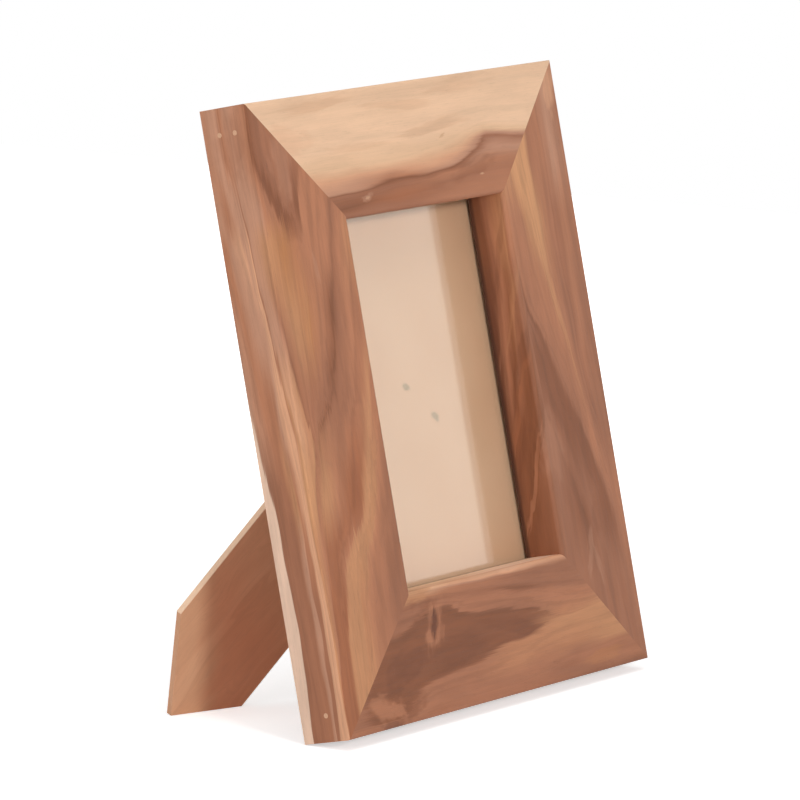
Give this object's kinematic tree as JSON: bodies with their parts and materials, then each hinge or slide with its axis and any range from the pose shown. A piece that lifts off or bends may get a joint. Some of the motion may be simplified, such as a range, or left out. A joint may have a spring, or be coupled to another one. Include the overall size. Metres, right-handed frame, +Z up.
{
  "type": "tabletop picture frame",
  "caption": "Mitred wooden picture frame, glazed, with a riveted easel leg that folds flat and turn buttons that hold its backing board.",
  "frame": {"origin": "on the table, at the middle of the footprint: bottom centre of the whole part's box, with the leg open", "axes": "+Z up, +X to the right as seen from the front, -Y the way the picture faces; the frame leans back 11.7 degrees from upright, towards +Y"},
  "size_m": [0.236, 0.1166, 0.2851],
  "materials": {
    "rail_wood": "oiled",
    "pane_glass": "clear",
    "insert_paper": "matte",
    "board_fibre": "smooth pressed fibre",
    "leg_wood": "sanded",
    "hinge_steel": "zinc plated",
    "rivet_steel": "zinc plated",
    "nail_steel": "bright",
    "filler_putty": "sanded wood filler",
    "button_steel": "zinc plated",
    "screw_steel": "zinc plated"
  },
  "bodies": {
    "frame": {"top_rail": "rail_wood", "bottom_rail": "rail_wood", "left_rail": "rail_wood", "right_rail": "rail_wood", "glass_pane": "pane_glass", "photo_insert": "insert_paper", "backing_board": "board_fibre", "hinge_board_leaf": "hinge_steel", "hinge_pin": "hinge_steel", "board_rivets": "rivet_steel", "corner_nails": "nail_steel", "nail_fillers": "filler_putty", "turn_button_screw_top": "screw_steel", "turn_button_screw_bottom": "screw_steel", "turn_button_screw_left": "screw_steel", "turn_button_screw_right": "screw_steel"},
    "leg": {"easel_leg": "leg_wood", "hinge_leg_leaf": "hinge_steel", "leg_rivets": "rivet_steel"},
    "button_top": {"turn_button_top": "button_steel"},
    "button_bottom": {"turn_button_bottom": "button_steel"},
    "button_left": {"turn_button_left": "button_steel"},
    "button_right": {"turn_button_right": "button_steel"}
  },
  "joints": [
    {"name": "leg_hinge", "type": "hinge", "parent": "frame", "child": "leg", "pos_m": [-0.004, -0.00391, 0.13076], "axis": [0.7547, -0.133, -0.6424], "range_deg": [-29.6, 0]},
    {"name": "button_turn_top", "type": "hinge", "parent": "frame", "child": "button_top", "pos_m": [0, 0.01558, 0.23599], "axis": [0, 0.9792, -0.2028], "continuous": true},
    {"name": "button_turn_bottom", "type": "hinge", "parent": "frame", "child": "button_bottom", "pos_m": [0, -0.02416, 0.04407], "axis": [0, 0.9792, -0.2028], "continuous": true},
    {"name": "button_turn_left", "type": "hinge", "parent": "frame", "child": "button_left", "pos_m": [-0.073, -0.00429, 0.14003], "axis": [0, 0.9792, -0.2028], "continuous": true},
    {"name": "button_turn_right", "type": "hinge", "parent": "frame", "child": "button_right", "pos_m": [0.073, -0.00429, 0.14003], "axis": [0, 0.9792, -0.2028], "continuous": true}
  ]
}
